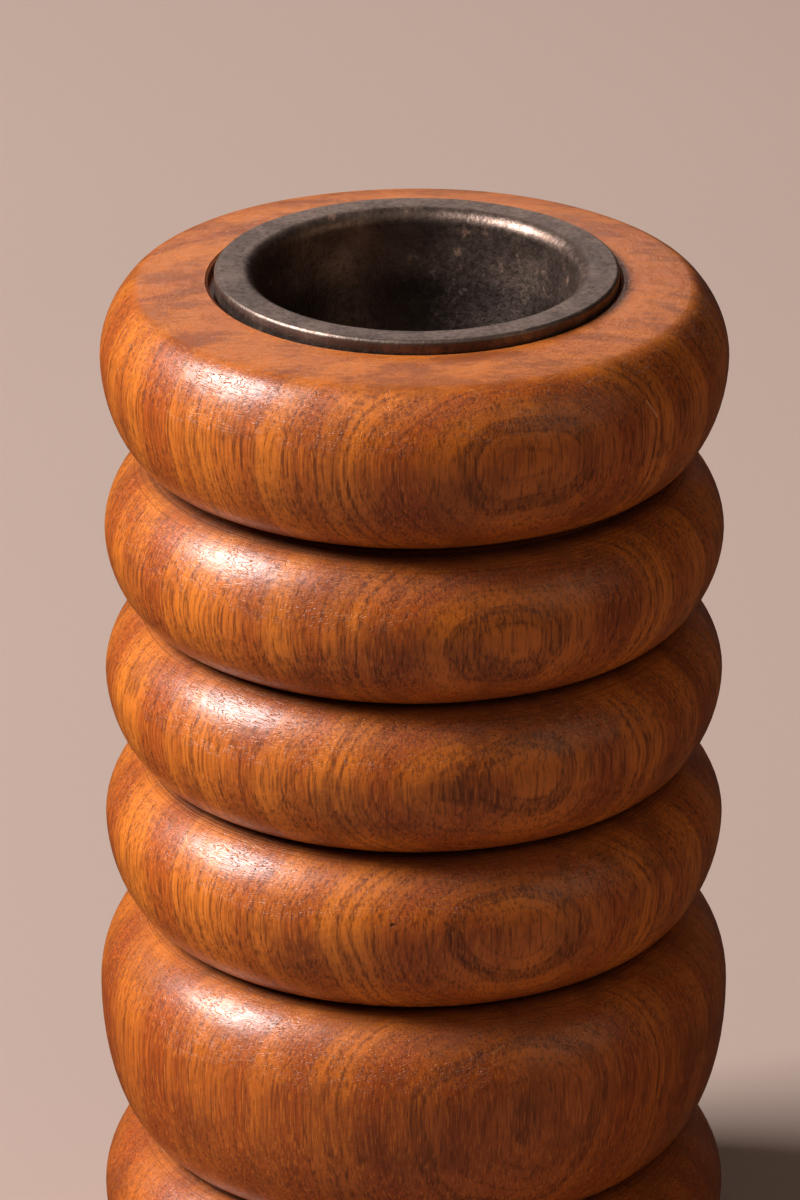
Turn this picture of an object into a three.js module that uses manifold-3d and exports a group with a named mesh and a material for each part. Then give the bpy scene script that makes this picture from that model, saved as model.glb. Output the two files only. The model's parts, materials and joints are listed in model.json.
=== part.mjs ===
// A short pepper mill: a turned hardwood barrel and a turning head, both cut from one block as a
// stack of round beads, with a loose iron filler cup in the open top and a steel burr set in the base.
// Units are millimetres, +Z is up, and the origin is the centre of the foot's flat face.
import * as THREE from "three";
import { mergeVertices } from "three/addons/utils/BufferGeometryUtils.js";
import Module from "manifold-3d";

const wasm = await Module();
wasm.setup();

// ---------------------------------------------------------------------------------------------
// Driving dimensions

const BEAD_COUNT_IN_HEAD = 1;
const GROOVE_RADIUS = 25.2; // wood left at the bottom of each groove
// Beads from the top down. "belly" is the widest point's height above the bead's lower groove, and
// "power" shapes the section: 2 is an ellipse, less is more pointed and more is squarer.
const BEADS = [
  { height: 18.5, radius: 31.0, belly: 10.9, power: 1.85 },
  { height: 15.6, radius: 30.8, belly: 8.2, power: 1.85 },
  { height: 15.9, radius: 30.9, belly: 8.9, power: 1.85 },
  { height: 16.8, radius: 31.1, belly: 9.9, power: 1.85 },
  { height: 24.4, radius: 31.9, belly: 15.4, power: 2.05 },
  { height: 17.8, radius: 31.8, belly: 10.2, power: 1.85 },
];
// How far the end beads' curves would run on past the flat top and the flat foot.
const TOP_OVERRUN = 0.15;
const FOOT_OVERRUN = 1.2;

const WOOD_TOP = BEADS.reduce((sum, bead) => sum + bead.height, 0);
const SPLIT = WOOD_TOP - BEADS[0].height; // height of the joint between barrel and head
const FIT = 0.1; // clearance between pieces that sit against each other
const GLIDE_THICKNESS = 0.5;

const CUP = {
  flangeRadius: 19.9,
  proud: 1.2, // how far the flange stands above the wood
  flangeThickness: 2.4,
  mouthRadius: 15.9,
  lipRadius: 1.4,
  wall: 1.5,
  depth: 16.2,
  outletRadius: 11.6,
  offset: 0.25, // it is a loose fit, and lies to one side of its seat
};
const SEAT_RADIUS = 20.25;
const CUP_BORE_RADIUS = 17.75;

const TENON = { radius: 19.2, length: 6.2, bore: 12.8 };
const COLLAR = { inner: 19.6, outer: 20.9 };
const CHAMBER_RADIUS = 16.6;
const BURR_BORE_RADIUS = 18.0;
const FOOT_RECESS = { radius: 22.8, depth: 8.3 };

const BRIDGE = { thickness: 2.9, width: 9, halfLength: 18.4, hubRadius: 6.2, screwAt: 15.9 };
const SPINDLE = { square: 5, journal: 2.5, drive: 3.4, thread: 2.0, footThread: 1.6, slack: 0.3 };
const NUT = { radius: 5.4, height: 6.2, ridges: 20, ridgeDepth: 0.35 };
const ADJUST_TRAVEL = 1.05; // one and a half turns of a 0.7 mm pitch thread

const BURR = { bottom: 9.6, crush: 16.0, top: 24.0, gap: 0.95, fineSlope: 0.55 };
const STATOR = { radius: 17.8, bottom: 8.4, top: 33.0 };
const BRACKET = { thickness: 2.5, hubRadius: 5.4, hubDrop: 1.5, spokeWidth: 3.4, rimWidth: 2.4 };
const BUSH = { outer: 3.9, inner: 2.62, flangeRadius: 4.9, flangeThickness: 0.8 };
const SPRING = { radius: 3.9, wire: 0.45, turns: 5 };
const RETAINER = { thickness: 1.5, radius: 22.4, hole: 14.8, screwAt: 20.2, screwCount: 4 };

const ROUND = 48; // sides of the large turned pieces
const SMALL_ROUND = 24; // sides of washers, shafts and nuts
const TINY_ROUND = 12; // sides of screws

// ---------------------------------------------------------------------------------------------
// Materials

const WOOD = new THREE.MeshStandardMaterial({ color: 0x9a4f22, roughness: 0.45, metalness: 0 });
const IRON = new THREE.MeshStandardMaterial({ color: 0x3a3634, roughness: 0.5, metalness: 0.9 });
const STEEL = new THREE.MeshStandardMaterial({ color: 0x9a9a98, roughness: 0.35, metalness: 1 });
const BURR_STEEL = new THREE.MeshStandardMaterial({ color: 0x55534f, roughness: 0.5, metalness: 1 });
const BRASS = new THREE.MeshStandardMaterial({ color: 0xb08d4a, roughness: 0.35, metalness: 1 });
const FIBRE = new THREE.MeshStandardMaterial({ color: 0x6b3a28, roughness: 0.8, metalness: 0 });

// ---------------------------------------------------------------------------------------------
// Making and cutting solids

// A body of revolution from a closed outline of [radius, height] points, anticlockwise.
function turned(outline, sides = ROUND) {
  const closed = [...outline, outline[0]].map(([r, z]) => new THREE.Vector2(r, z));
  return new THREE.LatheGeometry(closed, sides).rotateX(Math.PI / 2);
}

function tube(inner, outer, bottom, top, sides = ROUND) {
  return turned([[inner, bottom], [outer, bottom], [outer, top], [inner, top]], sides);
}

function rod(radius, bottom, top, sides = SMALL_ROUND) {
  return new THREE.CylinderGeometry(radius, radius, top - bottom, sides)
    .rotateX(Math.PI / 2)
    .translate(0, 0, (bottom + top) / 2);
}

function bar(sizeX, sizeY, bottom, top) {
  return new THREE.BoxGeometry(sizeX, sizeY, top - bottom).translate(0, 0, (bottom + top) / 2);
}

function solid(geometry) {
  const bare = geometry.index ? geometry.toNonIndexed() : geometry.clone();
  bare.deleteAttribute("normal");
  bare.deleteAttribute("uv");
  const merged = mergeVertices(bare, 1e-4);
  return new wasm.Manifold(
    new wasm.Mesh({
      numProp: 3,
      vertProperties: merged.attributes.position.array,
      triVerts: new Uint32Array(merged.index.array),
    }),
  );
}

function geometryOf(manifold) {
  const mesh = manifold.getMesh();
  const geometry = new THREE.BufferGeometry();
  geometry.setAttribute("position", new THREE.BufferAttribute(mesh.vertProperties, 3));
  geometry.setIndex(new THREE.BufferAttribute(mesh.triVerts, 1));
  const faceted = geometry.toNonIndexed();
  faceted.computeVertexNormals();
  return faceted;
}

function joined(...geometries) {
  return geometryOf(geometries.map(solid).reduce((whole, piece) => whole.add(piece)));
}

function cut(geometry, ...tools) {
  return geometryOf(tools.map(solid).reduce((left, tool) => left.subtract(tool), solid(geometry)));
}

const mill = new THREE.Group();

function addPiece(name, geometry, material, place = [0, 0, 0]) {
  const mesh = new THREE.Mesh(geometry, material.clone());
  mesh.name = name;
  mesh.position.set(...place);
  mill.add(mesh);
}

// ---------------------------------------------------------------------------------------------
// The beaded outline

// Points up the outside of one bead that stands on height "foot", with "steps" spans on each side of
// its belly. An end bead's curve would run on "pastFoot" or "pastTop", and is cut flat before that.
function beadOutline(bead, foot, { pastFoot = 0, pastTop = 0, steps = 4 } = {}) {
  const half = (side, reach, past) => {
    const whole = reach + past;
    const end = Math.asin((reach / whole) ** (bead.power / 2));
    return Array.from({ length: steps + 1 }, (_, i) => {
      const angle = (end * i) / steps;
      const out = Math.cos(angle) ** (2 / bead.power);
      const rise = side * whole * Math.sin(angle) ** (2 / bead.power);
      return [GROOVE_RADIUS + (bead.radius - GROOVE_RADIUS) * out, foot + bead.belly + rise];
    });
  };
  const lower = half(-1, bead.belly, pastFoot).reverse();
  const upper = half(1, bead.height - bead.belly, pastTop);
  return [...lower, ...upper.slice(1)];
}

// ---------------------------------------------------------------------------------------------
// Barrel: the lower beads in one piece, bored for the pepper above and the burr set below

const shoulder = STATOR.top + BRACKET.thickness + FIT; // the bracket bears up against this step
const collarFloor = SPLIT - TENON.length - 2.0; // leaves room for the bridge screws' heads

function screwCircle(make) {
  return Array.from({ length: RETAINER.screwCount }, (_, i) => {
    const angle = ((i + 0.5) / RETAINER.screwCount) * 2 * Math.PI;
    return make(i, RETAINER.screwAt * Math.cos(angle), RETAINER.screwAt * Math.sin(angle));
  });
}

const RETAINER_SCREW = { shank: 1.2, head: 2.3, headHeight: 1.3, length: 9 };
const BRIDGE_SCREW = { shank: 1.2, head: 2.2, headHeight: 1.2, length: 8 };
const PILOT_CLEARANCE = 0.1;
const SCREW_CLEARANCE = 0.2;

// A round-headed wood screw, its head's underside at height 0 and its point up.
function woodScrew({ shank, head, headHeight, length }) {
  const outline = [
    [0, -headHeight],
    [head * 0.65, -headHeight],
    [head, -headHeight * 0.35],
    [head, 0],
    [shank, 0],
    [shank, length * 0.8],
    [0, length],
  ];
  return new THREE.LatheGeometry(
    outline.map(([r, z]) => new THREE.Vector2(r, z)),
    TINY_ROUND,
  ).rotateX(Math.PI / 2);
}

function pilotHole({ shank, length }, x, y, z) {
  return rod(shank + PILOT_CLEARANCE, z - 1, z + length + 0.4, TINY_ROUND).translate(x, y, 0);
}

function barrel() {
  let foot = 0;
  const outside = [];
  const lowerBeads = BEADS.slice(BEAD_COUNT_IN_HEAD).reverse();
  lowerBeads.forEach((bead, i) => {
    const points = beadOutline(bead, foot, { pastFoot: i === 0 ? FOOT_OVERRUN : 0 });
    outside.push(...(i === 0 ? points : points.slice(1)));
    foot += bead.height;
  });
  const inside = [
    [COLLAR.outer + FIT, SPLIT],
    [COLLAR.outer + FIT, collarFloor],
    [CHAMBER_RADIUS, collarFloor],
    [CHAMBER_RADIUS, shoulder],
    [BURR_BORE_RADIUS, shoulder],
    [BURR_BORE_RADIUS, FOOT_RECESS.depth],
    [FOOT_RECESS.radius, FOOT_RECESS.depth],
    [FOOT_RECESS.radius, 0],
  ];
  const holes = screwCircle((_, x, y) => pilotHole(RETAINER_SCREW, x, y, FOOT_RECESS.depth));
  return cut(turned([...outside, ...inside]), ...holes);
}

addPiece("barrel", barrel(), WOOD);
addPiece("neck_collar", tube(COLLAR.inner, COLLAR.outer, collarFloor + FIT, SPLIT - FIT), BRASS);
addPiece(
  "glide_washer",
  tube(COLLAR.inner, GROOVE_RADIUS - 0.7, SPLIT + 0.05, SPLIT + 0.05 + GLIDE_THICKNESS),
  FIBRE,
);

// ---------------------------------------------------------------------------------------------
// Head: the top bead, with a seat for the cup, a tenon that turns in the collar, and a drive bridge

const headBottom = SPLIT + GLIDE_THICKNESS + FIT;
const tenonBottom = SPLIT - TENON.length;
const seatFloor = WOOD_TOP + CUP.proud - CUP.flangeThickness - FIT;
const cupBottom = WOOD_TOP + CUP.proud - CUP.depth;
const ledge = cupBottom - 0.6;
const bridgeTop = tenonBottom + BRIDGE.thickness;

function headRing() {
  const bead = beadOutline(BEADS[0], SPLIT, { pastTop: TOP_OVERRUN, steps: 5 });
  const outside = [
    [TENON.bore, tenonBottom],
    [TENON.radius, tenonBottom],
    [TENON.radius, headBottom],
    [GROOVE_RADIUS, headBottom],
    ...bead.filter(([, z]) => z > headBottom + 0.2),
  ];
  const inside = [
    [SEAT_RADIUS, WOOD_TOP],
    [SEAT_RADIUS, seatFloor],
    [CUP_BORE_RADIUS, seatFloor],
    [CUP_BORE_RADIUS, ledge],
    [TENON.bore, ledge],
  ];
  const slot = bar(2 * TENON.radius + 2, BRIDGE.width + 2 * FIT, tenonBottom - 1, bridgeTop + FIT);
  const holes = [-1, 1].map((side) =>
    pilotHole(BRIDGE_SCREW, side * BRIDGE.screwAt, 0, tenonBottom),
  );
  return cut(turned([...outside, ...inside]), slot, ...holes);
}

function driveBridge() {
  const arms = bar(2 * BRIDGE.halfLength, BRIDGE.width, tenonBottom, bridgeTop);
  const hub = rod(BRIDGE.hubRadius, tenonBottom, bridgeTop);
  const hole = SPINDLE.square + SPINDLE.slack;
  const squareHole = bar(hole, hole, tenonBottom - 1, bridgeTop + 1);
  const screwHoles = [-1, 1].map((side) =>
    rod(BRIDGE_SCREW.shank + SCREW_CLEARANCE, tenonBottom - 1, bridgeTop + 1, TINY_ROUND)
      .translate(side * BRIDGE.screwAt, 0, 0),
  );
  return cut(joined(arms, hub), squareHole, ...screwHoles);
}

addPiece("head_ring", headRing(), WOOD);
addPiece("drive_bridge", driveBridge(), STEEL);
[-1, 1].forEach((side, i) =>
  addPiece(`bridge_screw_${i + 1}`, woodScrew(BRIDGE_SCREW), STEEL, [
    side * BRIDGE.screwAt,
    0,
    tenonBottom - FIT,
  ]),
);

// ---------------------------------------------------------------------------------------------
// Filler cup: a flanged iron funnel, open at the bottom, that drops into the head

function fillerCup() {
  const top = WOOD_TOP + CUP.proud;
  const flangeBottom = top - CUP.flangeThickness;
  const edge = 0.5; // rounding of the flange's outer edge
  const lip = [3, 2, 1, 0].map((i) => {
    const angle = (i / 3) * (Math.PI / 2);
    return [
      CUP.mouthRadius + CUP.lipRadius * (1 - Math.cos(angle)),
      top - CUP.lipRadius * (1 - Math.sin(angle)),
    ];
  });
  // The bowl's section is a quarter ellipse from the outlet up to the lip.
  const bowlHeight = CUP.depth - CUP.lipRadius;
  const bowl = (grow, steps) =>
    Array.from({ length: steps + 1 }, (_, i) => {
      const t = i / steps;
      const swell = (CUP.mouthRadius - CUP.outletRadius) * Math.sin((t * Math.PI) / 2);
      return [CUP.outletRadius + swell + grow, cupBottom + t * bowlHeight];
    });
  const outsideBowl = bowl(CUP.wall, 5).filter(([, z]) => z < flangeBottom - 0.5);
  const neck = CUP.mouthRadius + CUP.wall;
  return turned([
    ...outsideBowl,
    [neck, flangeBottom],
    [CUP.flangeRadius, flangeBottom],
    [CUP.flangeRadius, top - edge],
    [CUP.flangeRadius - edge * 0.3, top - edge * 0.3],
    [CUP.flangeRadius - edge, top],
    ...lip,
    ...bowl(0, 6).reverse().slice(1),
  ]);
}

addPiece("filler_cup", fillerCup(), IRON, [CUP.offset, 0, 0]);

// ---------------------------------------------------------------------------------------------
// Spindle and the nut that sets the grind

const squareTop = bridgeTop - ADJUST_TRAVEL - FIT;
const washerTop = bridgeTop + FIT + 0.6;
const nutBottom = washerTop + FIT;
const bushBottom = STATOR.top - BRACKET.hubDrop;
const bushTop = STATOR.top + BRACKET.thickness;
const rotorWasherBottom = BURR.bottom - 0.8;
const journalTop = bushTop + BUSH.flangeThickness + ADJUST_TRAVEL + 2;

function spindle() {
  const threadLength = 4;
  return joined(
    rod(SPINDLE.footThread, rotorWasherBottom - threadLength, rotorWasherBottom + 1),
    bar(SPINDLE.drive, SPINDLE.drive, rotorWasherBottom, BURR.top + 1),
    rod(SPINDLE.journal, BURR.top, journalTop + 1),
    bar(SPINDLE.square, SPINDLE.square, journalTop, squareTop),
    rod(SPINDLE.thread, squareTop - 1, nutBottom + NUT.height + 1.2),
  );
}

// A thumb nut with straight ridges round its rim and a short plain neck.
function adjustingNut() {
  const ridged = new THREE.Shape();
  const count = NUT.ridges * 2;
  for (let i = 0; i < count; i++) {
    const angle = (i / count) * 2 * Math.PI;
    const r = NUT.radius - (i % 2 ? NUT.ridgeDepth : 0);
    const point = [r * Math.cos(angle), r * Math.sin(angle)];
    if (i === 0) ridged.moveTo(...point);
    else ridged.lineTo(...point);
  }
  const neckHeight = 1.4;
  const rim = new THREE.ExtrudeGeometry(ridged, { depth: NUT.height - neckHeight, bevelEnabled: false });
  rim.translate(0, 0, nutBottom + neckHeight);
  const neck = rod(NUT.radius * 0.68, nutBottom, nutBottom + neckHeight + 0.5);
  const hole = rod(SPINDLE.thread + 0.15, nutBottom - 1, nutBottom + NUT.height + 1);
  return cut(joined(rim, neck), hole);
}

addPiece("spindle", spindle(), STEEL);
addPiece("nut_washer", tube(2.3, 4.6, bridgeTop + FIT, washerTop, SMALL_ROUND), STEEL);
addPiece("adjusting_nut", adjustingNut(), BRASS);

// ---------------------------------------------------------------------------------------------
// Burrs: the rotor on the spindle and the stator in the barrel, both toothed cones

const TOOTH_SAMPLES = 96; // a multiple of both tooth counts
const COARSE = { teeth: 8, depth: 1.5 };
const FINE = { teeth: 24, depth: 0.55 };

// A solid of toothed rings. Each ring has a height, a radius at the tooth tips, a tooth pattern, a
// turn about the axis, and a side: -1 cuts the teeth inwards from the tips and 1 outwards.
function toothedCore(rings, side) {
  const positions = [];
  const triangles = [];
  rings.forEach(({ z, radius, pattern, turn }) => {
    const perTooth = TOOTH_SAMPLES / pattern.teeth;
    for (let j = 0; j < TOOTH_SAMPLES; j++) {
      const angle = (j / TOOTH_SAMPLES) * 2 * Math.PI + turn;
      const ramp = (j % perTooth) / (perTooth - 1);
      const r = radius + side * pattern.depth * ramp;
      positions.push(r * Math.cos(angle), r * Math.sin(angle), z);
    }
  });
  const bottomCentre = positions.length / 3;
  positions.push(0, 0, rings[0].z);
  positions.push(0, 0, rings[rings.length - 1].z);
  const topRing = (rings.length - 1) * TOOTH_SAMPLES;
  for (let j = 0; j < TOOTH_SAMPLES; j++) {
    const next = (j + 1) % TOOTH_SAMPLES;
    for (let base = 0; base < topRing; base += TOOTH_SAMPLES) {
      const above = base + TOOTH_SAMPLES;
      triangles.push(base + j, base + next, above + next, base + j, above + next, above + j);
    }
    triangles.push(bottomCentre, next, j, bottomCentre + 1, topRing + j, topRing + next);
  }
  const geometry = new THREE.BufferGeometry();
  geometry.setAttribute("position", new THREE.Float32BufferAttribute(positions, 3));
  geometry.setIndex(triangles);
  return geometry;
}

const rotorCrushRadius = 9.2;
const rotorTopRadius = 5.6;
const statorCrushRadius = rotorCrushRadius + BURR.gap;
const fineRadius = (base, z) => base + (BURR.crush - z) * BURR.fineSlope;
const coarseTurn = -0.9; // radians of spiral over the crushing teeth
const fineTurn = 0.22;

function rotorBurr() {
  const rings = [
    { z: BURR.bottom, radius: fineRadius(rotorCrushRadius, BURR.bottom), pattern: FINE, turn: 0 },
    { z: BURR.crush, radius: rotorCrushRadius, pattern: FINE, turn: fineTurn },
    { z: BURR.crush + 0.5, radius: rotorCrushRadius - 0.2, pattern: COARSE, turn: fineTurn },
    ...[1, 2, 3].map((i) => ({
      z: BURR.crush + 0.5 + ((BURR.top - BURR.crush - 0.5) * i) / 3,
      radius: rotorCrushRadius - 0.2 + ((rotorTopRadius - rotorCrushRadius + 0.2) * i) / 3,
      pattern: COARSE,
      turn: fineTurn + (coarseTurn * i) / 3,
    })),
  ];
  const bore = bar(SPINDLE.drive + 0.2, SPINDLE.drive + 0.2, BURR.bottom - 1, BURR.top + 1);
  return cut(toothedCore(rings, -1), bore);
}

// Tabs on the retainer stop the stator turning. They enter slots in its lower face.
const KEY = { width: 4, depth: 1.6, height: 1.4, clearance: 0.15 };

function keys(clearance, bottom, top) {
  const middle = (RETAINER.hole + STATOR.radius) / 2;
  return [-1, 1].map((side) =>
    bar(KEY.depth + 2 * clearance, KEY.width + 2 * clearance, bottom, top)
      .translate(side * middle, 0, 0),
  );
}

function statorBurr() {
  const throat = { z: 24.0, radius: 12.2 };
  const rings = [
    {
      z: STATOR.bottom - 1,
      radius: fineRadius(statorCrushRadius, STATOR.bottom - 1),
      pattern: FINE,
      turn: 0,
    },
    { z: BURR.crush, radius: statorCrushRadius, pattern: FINE, turn: -fineTurn },
    { z: BURR.crush + 0.5, radius: statorCrushRadius, pattern: COARSE, turn: -fineTurn },
    { z: 20, radius: 11.0, pattern: COARSE, turn: -fineTurn + 0.25 },
    { ...throat, pattern: COARSE, turn: -fineTurn + 0.5 },
    { z: STATOR.top + 1, radius: 15.4, pattern: { teeth: COARSE.teeth, depth: 0.3 }, turn: 0.3 },
  ];
  return cut(
    rod(STATOR.radius, STATOR.bottom, STATOR.top, ROUND),
    toothedCore(rings, 1),
    ...keys(KEY.clearance, STATOR.bottom - 1, STATOR.bottom + KEY.height + KEY.clearance),
  );
}

function rotorNut() {
  const hexagon = rod(3.6, rotorWasherBottom - FIT - 2.6, rotorWasherBottom - FIT, 6);
  return cut(hexagon, rod(SPINDLE.footThread + 0.15, 0, rotorWasherBottom + 1));
}

addPiece("rotor_burr", rotorBurr(), BURR_STEEL);
addPiece("stator_burr", statorBurr(), BURR_STEEL);
addPiece("rotor_washer", tube(2.5, 5.2, rotorWasherBottom, BURR.bottom - FIT, SMALL_ROUND), STEEL);
addPiece("rotor_nut", rotorNut(), STEEL);

// ---------------------------------------------------------------------------------------------
// Bearing bracket, bush, spring and retainer

function bearingBracket() {
  const bottom = STATOR.top + FIT / 2;
  const rimInner = STATOR.radius - BRACKET.rimWidth;
  const rim = tube(rimInner, STATOR.radius, bottom, bushTop);
  const hub = rod(BRACKET.hubRadius, bushBottom, bushTop);
  const spokeLength = rimInner + 1;
  const spokes = [0, 1, 2].map((i) =>
    bar(spokeLength, BRACKET.spokeWidth, bottom, bushTop)
      .translate(spokeLength / 2, 0, 0)
      .rotateZ(((i + 0.25) / 3) * 2 * Math.PI),
  );
  const bushHole = rod(BUSH.outer + 0.05, bushBottom - 1, bushTop + 1);
  return cut(joined(rim, hub, ...spokes), bushHole);
}

function bearingBush() {
  return turned(
    [
      [BUSH.inner, bushBottom],
      [BUSH.outer, bushBottom],
      [BUSH.outer, bushTop + 0.05],
      [BUSH.flangeRadius, bushTop + 0.05],
      [BUSH.flangeRadius, bushTop + BUSH.flangeThickness],
      [BUSH.inner, bushTop + BUSH.flangeThickness],
    ],
    SMALL_ROUND,
  );
}

class Helix extends THREE.Curve {
  constructor(radius, bottom, top, turns) {
    super();
    Object.assign(this, { radius, bottom, top, turns });
  }

  getPoint(t, target = new THREE.Vector3()) {
    const angle = t * this.turns * 2 * Math.PI;
    return target.set(
      this.radius * Math.cos(angle),
      this.radius * Math.sin(angle),
      this.bottom + (this.top - this.bottom) * t,
    );
  }
}

// A compression spring that pushes the rotor down, away from the stator.
function spring() {
  const margin = SPRING.wire + FIT;
  const path = new Helix(SPRING.radius, BURR.top + margin, bushBottom - margin, SPRING.turns);
  const section = new THREE.Shape();
  for (let i = 0; i < 6; i++) {
    const angle = (i / 6) * 2 * Math.PI;
    const point = [SPRING.wire * Math.cos(angle), SPRING.wire * Math.sin(angle)];
    if (i === 0) section.moveTo(...point);
    else section.lineTo(...point);
  }
  return new THREE.ExtrudeGeometry(section, { steps: 60, extrudePath: path });
}

function retainerPlate() {
  const top = STATOR.bottom - FIT;
  const plate = tube(RETAINER.hole, RETAINER.radius, top - RETAINER.thickness, top);
  const tabs = keys(0, top - 0.5, top + KEY.height);
  const holes = screwCircle((_, x, y) =>
    rod(RETAINER_SCREW.shank + SCREW_CLEARANCE, top - 3, top + 1, TINY_ROUND).translate(x, y, 0),
  );
  return cut(joined(plate, ...tabs), ...holes);
}

addPiece("bearing_bracket", bearingBracket(), STEEL);
addPiece("bearing_bush", bearingBush(), BRASS);
addPiece("burr_spring", spring(), STEEL);
addPiece("retainer_plate", retainerPlate(), STEEL);
screwCircle((i, x, y) =>
  addPiece(`retainer_screw_${i + 1}`, woodScrew(RETAINER_SCREW), STEEL, [
    x,
    y,
    STATOR.bottom - FIT - RETAINER.thickness - 0.05,
  ]),
);

export default mill;
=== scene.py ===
"""A short pepper mill of turned, beaded hardwood with a loose iron filler cup in its open top.

Lengths in the geometry are metres, as in the CAD frame. Materials work in millimetres."""

import json
import math

import bmesh
import bpy
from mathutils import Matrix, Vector, noise

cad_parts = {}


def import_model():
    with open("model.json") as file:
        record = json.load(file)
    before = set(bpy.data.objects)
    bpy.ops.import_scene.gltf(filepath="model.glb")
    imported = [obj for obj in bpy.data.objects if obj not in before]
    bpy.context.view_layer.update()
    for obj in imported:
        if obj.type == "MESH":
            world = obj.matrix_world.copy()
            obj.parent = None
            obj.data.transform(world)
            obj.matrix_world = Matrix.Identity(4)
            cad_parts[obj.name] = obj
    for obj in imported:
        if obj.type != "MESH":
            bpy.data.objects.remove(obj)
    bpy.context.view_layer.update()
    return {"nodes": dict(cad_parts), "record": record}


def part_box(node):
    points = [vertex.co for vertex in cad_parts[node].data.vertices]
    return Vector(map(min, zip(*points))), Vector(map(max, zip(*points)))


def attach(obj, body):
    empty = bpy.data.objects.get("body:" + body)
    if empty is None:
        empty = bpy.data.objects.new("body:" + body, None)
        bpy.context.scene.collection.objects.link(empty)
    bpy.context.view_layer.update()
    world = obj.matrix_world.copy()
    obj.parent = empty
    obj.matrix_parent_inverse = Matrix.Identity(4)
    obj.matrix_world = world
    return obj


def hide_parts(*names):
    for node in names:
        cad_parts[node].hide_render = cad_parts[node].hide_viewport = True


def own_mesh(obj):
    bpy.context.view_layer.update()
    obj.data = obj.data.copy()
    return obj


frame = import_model()

MM = 0.001
NODES = frame["nodes"]
BODY_OF = {
    node: body
    for body, nodes in frame["record"]["behaviour"]["bodies"].items()
    for node in nodes
}
SLOT_OF = {part["node"]: part["material_slot"] for part in frame["record"]["subparts"]}

# -------------------------------------------------------------------------------------------------
# Driving values

WOOD_SEGMENTS = 256
CUP_SEGMENTS = 192
FINE_SEGMENTS = 96
SMALL_SEGMENTS = 48
HOLE_SEGMENTS = 32
KNURL_SEGMENTS = 240

BEAD_STEPS = 14  # spans on each side of a bead's belly
BEAD_POWER = 1.85  # 2 would make each bead's section an ellipse
TALL_BEAD_POWER = 2.05
TALL_BEAD = 20 * MM  # a bead taller than this has the squarer section
SHOULDER_RADIUS = 28.1 * MM  # the top face falls slightly from the cup out to this shoulder
CROWN_FALL = 0.75 * MM
SHOULDER_EASE = 1.1 * MM
FACE_STEPS = 12
SEAT_EASE = 0.3 * MM
OUT_OF_ROUND = 0.09 * MM  # how far turning and wear leave the wood from a true shape
OUT_OF_ROUND_SPREAD = 14 * MM

CAMERA_ELEVATION = math.radians(24.5)
CAMERA_DISTANCE = 0.744
CAMERA_LENS = 221.8
AIM_BELOW_WOOD_TOP = 49.6 * MM
AIM_PITCH = math.radians(1.08)  # the camera looks slightly above its target
AIM_YAW = math.radians(0.119)

# Growth rings are cylinders about a pith that runs parallel to the mill's axis, well outside the
# block. The figure is centred where the beads face it.
PITH_AZIMUTH = math.radians(18.4)  # to the right of the front, which faces -Y
PITH_DISTANCE = 88.0  # mm from the mill's axis
PITH_WARP = 4.5  # mm that the rings wander by, across their whole range

# Marks on the wood: places are (degrees to the right of the front, height mm, radius mm).
PIT = (-4.0, 53.6, 31.0)
PIT_WIDTH = 0.26
NICKS = [  # start, end, width
    ((38, 107.2, 28.6), (46, 106.4, 29.2), 0.16),
    ((30, 107.0, 28.7), (33, 105.6, 29.5), 0.14),
    ((47, 104.4, 30.3), (49, 102.6, 30.9), 0.18),
    ((22, 106.2, 29.3), (27, 106.0, 29.4), 0.12),
    ((-12, 106.9, 28.9), (-5, 105.9, 29.4), 0.12),
]


# -------------------------------------------------------------------------------------------------
# Meshes


def make_object(name, vertices, faces, uvs=None, smooth_angle=40):
    """A mesh object with outward faces. uvs has one (u, v) for each corner of each face."""
    mesh = bpy.data.meshes.new(name)
    mesh.from_pydata([tuple(v) for v in vertices], [], faces)
    if uvs:
        layer = mesh.uv_layers.new(name="UVMap")
        flat = [value for face in uvs for corner in face for value in corner]
        layer.data.foreach_set("uv", flat)
    mesh.validate()
    mesh.update()
    obj = bpy.data.objects.new(name, mesh)
    bpy.context.scene.collection.objects.link(obj)
    mesh.polygons.foreach_set("use_smooth", [True] * len(mesh.polygons))
    mesh.set_sharp_from_angle(angle=math.radians(smooth_angle))
    return obj


def lathe(name, outline, segments, centre=(0, 0), smooth_angle=40, shape=None):
    """Turns (radius, height) points about a vertical line. The outline runs anticlockwise.

    shape(radius, height, angle) may give each vertex its own radius. The UV map is in
    millimetres: round the piece at its greatest radius, and along the outline."""
    count = len(outline)
    widest = max(r for r, _ in outline)
    along = [0.0]
    for (r0, z0), (r1, z1) in zip(outline, outline[1:] + outline[:1]):
        along.append(along[-1] + math.hypot(r1 - r0, z1 - z0) / MM)
    rings = []
    vertices = []
    for r, z in outline:
        start = len(vertices)
        if r < 1e-7:
            vertices.append((centre[0], centre[1], z))
            rings.append([start] * segments)
            continue
        for j in range(segments):
            # The seam, where the UV map wraps, is at the back.
            a = math.pi / 2 + 2 * math.pi * j / segments
            out = shape(r, z, a) if shape else r
            vertices.append((centre[0] + out * math.cos(a), centre[1] + out * math.sin(a), z))
        rings.append(list(range(start, start + segments)))
    faces, uvs = [], []
    for i in range(count):
        low, high = rings[i], rings[(i + 1) % count]
        for j in range(segments):
            k = (j + 1) % segments
            u0 = 2 * math.pi * widest / MM * j / segments
            u1 = 2 * math.pi * widest / MM * (j + 1) / segments
            corners = [
                (low[j], (u0, along[i])),
                (low[k], (u1, along[i])),
                (high[k], (u1, along[i + 1])),
                (high[j], (u0, along[i + 1])),
            ]
            face = []
            for vertex, uv in corners:
                if vertex not in [v for v, _ in face]:
                    face.append((vertex, uv))
            if len(face) > 2:
                faces.append([v for v, _ in face])
                uvs.append([uv for _, uv in face])
    return make_object(name, vertices, faces, uvs, smooth_angle)


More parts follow.
